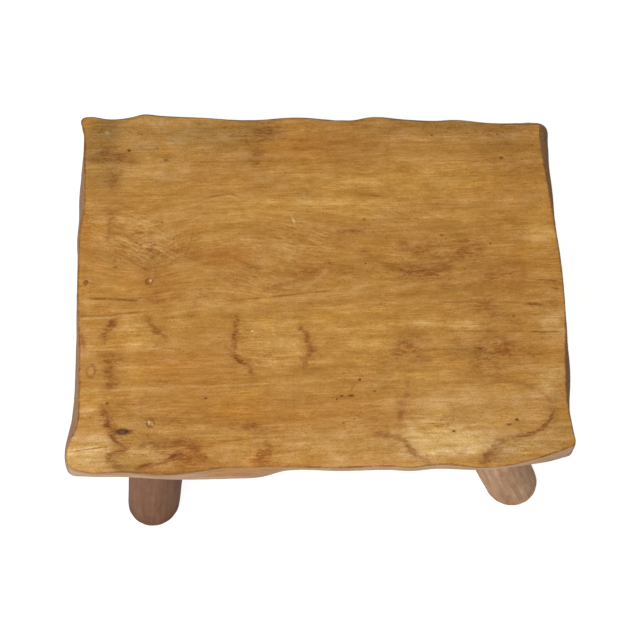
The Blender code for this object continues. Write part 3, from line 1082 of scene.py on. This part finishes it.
def lineField(x, y, lines):
    # signed distance to the nearest line, its strength there and its half width
    tie = 1e-6
    best = np.full(len(x), farAway)
    squarest = np.zeros(len(x))
    field = np.zeros((len(x), 3))
    for name, (pixels, halfWidth, strength) in lines.items():
        steady = stains["steady"].get(name, 1.0)
        knots = np.array([seatPoint(*pixel) for pixel in pixels])
        steps = np.linalg.norm(np.diff(knots, axis=0), axis=1)
        start = np.concatenate(((0.0,), np.cumsum(steps)))
        fadeRun = min(stains["lineFade"], start[-1] / 2)
        for index in range(len(knots) - 1):
            run = knots[index + 1] - knots[index]
            share = ((x - knots[index, 0]) * run[0] + (y - knots[index, 1]) * run[1]) / (run @ run)
            share = np.clip(share, 0.0, 1.0)
            offX = x - knots[index, 0] - run[0] * share
            offY = y - knots[index, 1] - run[1] * share
            gap = np.hypot(offX, offY)
            square = (run[0] * offY - run[1] * offX) / steps[index]
            # round a bend two runs are equally near, and the one seen more squarely gives the side
            closer = (gap < best - tie) | ((gap < best + tie) & (np.abs(square) > squarest))
            travelled = start[index] + steps[index] * share
            taper = np.minimum(travelled, start[-1] - travelled) / fadeRun
            best[closer] = gap[closer]
            squarest[closer] = np.abs(square)[closer]
            field[closer, 0] = (gap * np.sign(square))[closer] * steady
            field[closer, 1] = (strength * np.clip(taper, 0.0, 1.0))[closer]
            field[closer, 2] = halfWidth * steady
    field[:, 1] *= 1.0 - smoothStep(*stains["lineReach"], best)
    return field


def patchField(x, y, patches):
    # soft patches, bent out of their ovals by a slow wave and a quick one
    (slow, slowX, slowY), (quick, quickX, quickY) = stains["patchBends"]
    bendX = slowX * ripple(81, slow, x, y) + quickX * ripple(82, quick, x, y)
    bendY = slowY * ripple(83, slow, x, y) + quickY * ripple(84, quick, x, y)
    sharpness, fall = stains["patchFade"]
    total = np.zeros(len(x))
    for pixelX, pixelY, halfLong, halfWide, strength, *tilt in patches.values():
        centreX, centreY = seatPoint(pixelX, pixelY)
        turn = math.radians(sum(tilt))
        give = min(1.0, halfWide / stains["patchFirm"])
        offX = x + bendX * give - centreX
        offY = y + bendY * give - centreY
        along = (offX * math.cos(turn) + offY * math.sin(turn)) / halfLong
        across = (offY * math.cos(turn) - offX * math.sin(turn)) / halfWide
        total += strength * np.exp(-(along**2 + across**2) ** sharpness * fall)
    return np.clip(total, 0.0, 1.0)


def paintSeat(piece, rim):
    spots = points(piece) * metresToMm
    x, y, z = spots.T
    pushed = np.zeros(len(x))
    for pixelX, pixelY, halfLong, halfWide, push in growth["swirls"].values():
        centreX, centreY = seatPoint(pixelX, pixelY)
        pushed += push * np.exp(-((x - centreX) / halfLong) ** 2 - ((y - centreY) / halfWide) ** 2)
    across = y - growth["tilt"] * x - pushed
    across += growth["sway"] * ripple(71, growth["swayRun"], x, y * growth["swayAcross"])
    depth = z - seatTop * metresToMm
    setAttribute(piece, "woodGrain", np.stack((x, across, depth), 1))

    # how far in from the rim on the top, and how far below it, as a minus, elsewhere
    inside, nearest = nearestRim(x, y, rim)
    overRim = z - rim[nearest, 2]
    setAttribute(piece, "fromRim", np.where(overRim > -seat["topLevel"], inside, overRim))
    # the ends: 1 on the right one and -1 on the left one
    facing = normals(piece)[:, 0]
    setAttribute(piece, "endFace", smoothStep(*seat["endFacing"], np.abs(facing)) * np.sign(facing))
    for name in ("tides", "darkStreaks", "lightStreaks"):
        setAttribute(piece, name, lineField(x, y, stains[name]))
    together = {
        "dulling": ("smoky", "brown", "amber"),
        "fading": ("golden", "bleached", "oiledWall"),
    }
    for name, patches in together.items():
        setAttribute(piece, name, np.stack([patchField(x, y, stains[patch]) for patch in patches], 1))
    setAttribute(piece, "scratched", patchField(x, y, stains["scratched"]))
    print("seat painted")


# Finishes

# What a wash does to the oiled wood at full strength, as shares of red, green and blue light
washes = {
    "smoky": (0.61, 0.70, 0.91, 1.0),
    "brown": (0.66, 0.49, 0.37, 1.0),
    "amber": (0.90, 0.76, 0.55, 1.0),
    "golden": (1.24, 1.34, 1.38, 1.0),
    "bleached": (1.46, 1.92, 3.6, 1.0),
    "rust": (0.50, 0.30, 0.14, 1.0),
    "pores": (0.50, 0.40, 0.29, 1.0),
    "oiledWall": (0.86, 0.71, 0.47, 1.0),
    "warm": (1.03, 1.0, 0.86, 1.0),
    "cool": (0.97, 1.0, 1.15, 1.0),
    "red": (1.02, 0.98, 0.95, 1.0),
    "olive": (0.985, 1.01, 1.02, 1.0),
}


# Noise in the seat's wood: scale along and across the grain, detail, roughness, and a shift if any
figures = {
    "mottle": (0.045, 0.095, 7.0, 0.84),
    "fibres": (0.035, 0.62, 3.0, 0.75),
    "grit": (0.75, 1.0, 1.0, 0.6),
    "flecks": (0.10, 0.50, 4.0, 0.75, 37.0, 11.0, 5.0),
    "blots": (0.07, 0.13, 4.0, 0.7, 11.0, 70.0, 9.0),
    "bands": (0.006, 0.085, 3.0, 0.6, 20.0, 50.0, 70.0),
    "hue": (0.025, 0.05, 5.0, 0.7, 80.0, 40.0, 20.0),
    "blush": (0.045, 0.07, 6.0, 0.75, 33.0, 90.0, 12.0),
    "threads": (0.020, 0.30, 3.0, 0.6, 60.0, 15.0, 33.0),
    "pores": (0.24, 0.95, 2.0, 0.6, 5.0, 25.0, 45.0),
}


def seatMaterial():
    material, start, shader = newMaterial("old_oiled_plank", 0.25)
    place = start.objectPlace()
    grain = start.attribute("woodGrain")
    fromRim = start.attribute("fromRim", "Fac")
    endFace = start.attribute("endFace", "Fac")
    scratched = start.attribute("scratched", "Fac")
    tides = start.attribute("tides")
    darkStreaks = start.attribute("darkStreaks")
    lightStreaks = start.attribute("lightStreaks")
    dulling = start.attribute("dulling")
    fading = start.attribute("fading")

    def drawn(name):
        along, across, detail, roughness, *shift = figures[name]
        shifted = grain.moved(*shift) if shift else grain
        return shifted.stretched(along, across, across).noise(detail, roughness)

    # mottling, long fibres and fine grit, drawn out along the grain
    mottle = drawn("mottle") - 0.5
    fibres = drawn("fibres") - 0.5
    grit = drawn("grit") - 0.5
    flecks = drawn("flecks") - 0.5
    blots = drawn("blots") - 0.5
    bands = drawn("bands") - 0.5
    hue = drawn("hue")
    blush = drawn("blush")
    threads = drawn("threads")
    pores = drawn("pores")
    coarse = mottle * (1.3 + scratched * 0.8) + bands * 0.75
    fine = fibres * 0.75 + grit * 0.55
    tone = coarse + fine * (0.65 + blush.ease(0.42, 0.66) * 0.9) + 0.5
    oiled = tone.ramp(
        (0.0, colour(141, 86, 11)),
        (0.5, colour(181, 128, 56)),
        (1.0, colour(215, 166, 103)),
    )
    oiled = oiled.mix(washes["warm"], hue.ease(0.50, 0.68), "MULTIPLY")
    oiled = oiled.mix(washes["cool"], hue.ease(0.50, 0.32), "MULTIPLY")
    oiled = oiled.mix(washes["red"], blush.ease(0.50, 0.66), "MULTIPLY")
    oiled = oiled.mix(washes["olive"], blush.ease(0.50, 0.34), "MULTIPLY")

    # hair-thin growth lines, dark and light, that come and go
    fade = hue.ease(0.42, 0.62)
    oiled = oiled.mix(washes["pores"], abs(threads - 0.46).ease(0.016, 0.002) * fade * 0.55, "MULTIPLY")
    oiled = oiled.mix(washes["golden"], abs(threads - 0.56).ease(0.022, 0.004) * fade * 0.8, "MULTIPLY")

    # washes, whose edges break up along the fibres
    ragged = 1.0 + mottle * 1.4 + flecks * 0.8
    amounts = {
        "golden": fading.axis("X"),
        "bleached": fading.axis("Y"),
        "amber": dulling.axis("Z"),
        "smoky": dulling.axis("X"),
    }
    for name, amount in amounts.items():
        oiled = oiled.mix(washes[name], amount * ragged, "MULTIPLY")
    streaky = flecks * 0.8 + (pores - 0.5) * 0.4 + blots * 0.9 - mottle * 0.4
    brown = dulling.axis("Y") * (streaky.ease(-0.10, 0.16) * 1.3 + 0.35)
    oiled = oiled.mix(washes["brown"], brown, "MULTIPLY")

    # streaks along single fibres, dark and light
    thin = flecks * 2.2

    def streak(lines):
        return (abs(lines.axis("X") + thin) / lines.axis("Z")).ease(1.6, 0.1) * lines.axis("Y")

    broken = (fibres + blots).ease(-0.12, 0.10) * 0.6 + 0.4
    oiled = oiled.mix(colour(224, 190, 132), streak(lightStreaks) * broken * 0.75)
    oiled = oiled.mix(washes["rust"], streak(darkStreaks) * broken, "MULTIPLY")

    # fine scratches that fall to the right
    slanted = place.node("Mapping", {"vector_type": "TEXTURE"}, {
        "Vector": place, "Rotation": (0.0, 0.0, math.radians(-20.0)), "Scale": (12.0, 1.6, 1.6)})
    scratches = slanted.noise(3.0, 0.65)
    oiled = oiled.mix(colour(222, 182, 116), scratches.ease(0.52, 0.66) * scratched * 0.6)
    oiled = oiled.mix(washes["pores"], scratches.ease(0.46, 0.32) * scratched * 0.5, "MULTIPLY")

    # tide marks: a crisp line that jags along the fibres, in a faint halo
    offset = abs(tides.axis("X") + flecks * 13.0 + blots * 9.0) / tides.axis("Z")
    patchy = (blots + fibres * 1.1).ease(-0.16, 0.10) * 0.8 + 0.2
    tide = (offset.ease(1.6, 0.5) * patchy * 0.78 + offset.ease(5.0, 0.5) * 0.22) * tides.axis("Y")
    oiled = oiled.mix(washes["rust"], tide, "MULTIPLY")
    soaked = 0.45 + dulling.axis("X") * 1.5 + dulling.axis("Y") * 0.6
    oiled = oiled.mix(washes["pores"], pores.ease(0.63, 0.70) * soaked, "MULTIPLY")

    # worm holes, the knot and small rings
    rough = (place.stretched(0.7, 0.7, 0.7).noise(3.0, 0.6) - 0.5) * 2.0

    def reach(pixelX, pixelY, halfLong, halfWide):
        x, y = seatPoint(pixelX, pixelY)
        return place.moved(-x, -y, 0.0).stretched(1.0 / halfLong, 1.0 / halfWide, 0.0).length()

    onTop = fromRim.ease(-0.5, 0.5)
    marks = []
    for *spot, strength in stains["spots"].values():
        marks.append((reach(*spot) + rough).ease(1.25, 0.35) * strength)
    for *ring, strength in stains["rings"].values():
        edge = abs(reach(*ring) + rough * 0.5 - 1.0).ease(0.55, 0.05)
        marks.append(edge * strength * (0.45 + blots * 2.0))
    spots = marks[0]
    for mark in marks[1:]:
        spots = spots.top(mark)
    spots = spots * onTop
    oiled = oiled.mix(colour(96, 36, 4), spots * 0.95)
    *knot, knotStrength = stains["knot"]
    fromKnot = reach(*knot) + rough * 0.6
    eye = 0.92 - fromKnot.ease(0.55, 0.05) * 0.3  # the knot is paler in its middle
    oiled = oiled.mix(colour(66, 26, 16), fromKnot.ease(1.5, 0.4) * onTop * eye * knotStrength)
    for *speck, strength in stains["paleSpecks"].values():
        pale = (reach(*speck) + rough * 0.6).ease(1.2, 0.4) * onTop
        oiled = oiled.mix(colour(232, 206, 158), pale * strength)

    # bare wood on the wall and below, darker and with growth rings across the end grain; the ends' darker
    # colour is partly painted shade, fuller on the right end than on the left
    pithY, pithZ = growth["pith"]
    fromPith = grain.moved(0.0, -pithY, -pithZ).stretched(0.0, 1.0, 1.0).length() + mottle * 5.0
    years = start.node("TexNoise", {"noise_dimensions": "1D"}, {"W": fromPith * 0.26, "Detail": 3.0})
    years = (years - 0.5) * 1.9 + (tone - 0.5) * 0.35 + 0.5
    figure = tone + (years - tone) * abs(endFace)
    bare = figure.ramp(
        (0.1, colour(144, 108, 79)),
        (0.5, colour(180, 145, 114)),
        (0.9, colour(198, 166, 135)),
    )
    # the ends' colour: end grain, with painted shade darkening it
    endGrainAndShade = figure.ramp(
        (0.1, colour(90, 60, 36)),
        (0.5, colour(132, 93, 60)),
        (0.9, colour(160, 119, 82)),
    )
    # painted shade: the right end takes all of the dark end colour and the left end only part of it, so the
    # right end looks shaded
    bare = bare.mix(endGrainAndShade, endFace.top(endFace * -seat["leftEndGrainAndShadeShare"]))
    bare = bare.mix(washes["golden"], fading.axis("Y") * 0.7, "MULTIPLY")
    spilled = fading.axis("Z") - fromRim.ease(-3.0, -28.0) * 0.9
    oilRun = (spilled + (threads - 0.5) * 2.8 + mottle * 0.9).ease(0.0, 0.9)
    bare = bare.mix(washes["oiledWall"], oilRun, "MULTIPLY")
    worn = (fromRim + mottle * 1.4).ease(-0.1, -0.9) * (1.0 - oilRun * 0.5)
    surface = oiled.mix(bare, worn)
    soiled = abs(fromRim + 0.2 + mottle * 1.4).ease(0.7, 0.1) * (0.35 + blots.ease(-0.12, 0.12) * 0.45)
    surface = surface.mix(colour(104, 58, 26), soiled)

    connect(surface, shader, "Base Color")
    connect(0.5 + flecks * 0.3 + worn * 0.4 + tide * 0.1, shader, "Roughness")
    relief = fibres * 0.5 + mottle * 0.5 + grit * 0.2 - spots * 0.6
    connect(bump(relief, 0.0004, 0.35), shader, "Normal")
    return material


def legMaterial(name):
    material, start, shader = newMaterial("bare_leg_wood_" + name, 0.2)
    tint = leg["tints"][name]
    grain = start.attribute("legGrain")
    streaks = grain.stretched(0.22, 0.22, 0.010).noise(5.0, 0.7)
    fibres = grain.stretched(1.3, 1.3, 0.07).noise(3.0, 0.65)
    mottle = grain.stretched(0.09, 0.09, 0.035).noise(5.0, 0.75)
    tone = (streaks - 0.5) * leg["streaks"][name] + (fibres - 0.5) * 0.5 + (mottle - 0.5) * 0.7 + 0.5
    shades = [colour(*(level * share for level, share in zip(shade, tint))) for shade in leg["shades"]]
    wood = tone.ramp(*zip((0.1, 0.45, 0.65, 0.95), shades))
    height = start.objectPlace().axis("Z")
    # each leg darker towards its foot, by its own share
    footDark = (height + (mottle - 0.5) * 40.0).ease(34.0, 2.0) * leg["footDarkening"][name]
    wood = wood.mix(washes["brown"], footDark, "MULTIPLY")
    connect(wood, shader, "Base Color")
    connect(0.78 + (fibres - 0.5) * 0.2, shader, "Roughness")
    connect(bump(fibres * 0.6 + streaks * 0.4, 0.0003, 0.3), shader, "Normal")
    return material


def wedgeMaterial():
    material, start, shader = newMaterial("split_wedge_wood", 0.2)
    fibres = start.objectPlace().stretched(1.4, 1.4, 0.06).noise(3.0, 0.6)
    wood = fibres.ramp((0.3, colour(168, 134, 96)), (0.7, colour(206, 172, 128)))
    connect(wood, shader, "Base Color")
    connect(0.65 + (fibres - 0.5) * 0.2, shader, "Roughness")
    connect(bump(fibres, 0.0003, 0.3), shader, "Normal")
    return material


# Stage: a white floor that still takes a soft shadow, a key light from the front left, and a pale sky

stage = {
    "floorSize": 12.0,
    "floorShade": 0.75,  # what the floor throws back on the stool
    "shadowShare": 0.22,  # how much of the floor's white the shadow may take
    "floorGlow": 0.90,
    "skyStrength": 0.5,
    "keyPlace": (-0.75, -1.15, 1.55),
    "keySize": 1.1,
    "keyPower": 27.0,
    "keyTarget": (0.0, 0.0, 0.15),
}


def addStage():
    deselect()
    bpy.ops.mesh.primitive_plane_add(size=stage["floorSize"])
    floor = bpy.context.object
    floor.name = "studio_floor"
    material = bpy.data.materials.new("studio_white")
    material.use_nodes = True
    tree = material.node_tree
    tree.nodes.clear()
    start = Signal(tree)
    seen = start.node("LightPath", None, None, "Is Camera Ray")
    shade = stage["floorShade"]
    share = stage["shadowShare"]
    plain = start.node("BsdfDiffuse", None, {"Color": (shade, shade, shade, 1.0)})
    shadow = start.node("BsdfDiffuse", None, {"Color": (share, share, share, 1.0)})
    white = start.node("Emission", None, {"Strength": stage["floorGlow"]})
    shown = start.node("AddShader", None, {0: shadow, 1: white})
    both = start.node("MixShader", None, {0: seen, 1: plain, 2: shown})
    output = tree.nodes.new("ShaderNodeOutputMaterial")
    tree.links.new(both.socket, output.inputs["Surface"])
    floor.data.materials.append(material)

    world = bpy.data.worlds.new("pale_sky")
    bpy.context.scene.world = world
    world.use_nodes = True
    tree = world.node_tree
    tree.nodes.clear()
    start = Signal(tree)
    seen = start.node("LightPath", None, None, "Is Camera Ray")
    sky = stage["skyStrength"]
    strength = sky + seen * (1.0 - sky)
    background = start.node("Background", None, {"Color": (1.0, 1.0, 1.0, 1.0), "Strength": strength})
    output = tree.nodes.new("ShaderNodeOutputWorld")
    tree.links.new(background.socket, output.inputs["Surface"])

    bpy.ops.object.light_add(type="AREA", location=stage["keyPlace"])
    key = bpy.context.object
    key.name = "key_light"
    key.data.energy = stage["keyPower"]
    key.data.size = stage["keySize"]
    aim = Vector(stage["keyTarget"]) - Vector(stage["keyPlace"])
    key.rotation_euler = aim.to_track_quat("-Z", "Y").to_euler()
    bpy.context.scene.view_settings.view_transform = "Standard"
    print("stage set")


addCamera()
seatPiece, seatRim = addSeat()
legShapes = []
for number, name in enumerate(legNames):
    legPiece, legShape = addLeg(name, number)
    legShapes.append(legShape)
    finishPiece(legPiece, name + "_leg", legMaterial(name))
    print("leg made:", name)
cutMortises(seatPiece, legShapes)
smoothEdges(seatPiece)
paintSeat(seatPiece, seatRim)
finishPiece(seatPiece, "seat", seatMaterial())
wedgeWood = wedgeMaterial()
for name in legNames:
    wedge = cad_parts[name + "_wedge"]
    wedge.data.materials.clear()
    wedge.data.materials.append(wedgeWood)
addStage()

print("stool finished")
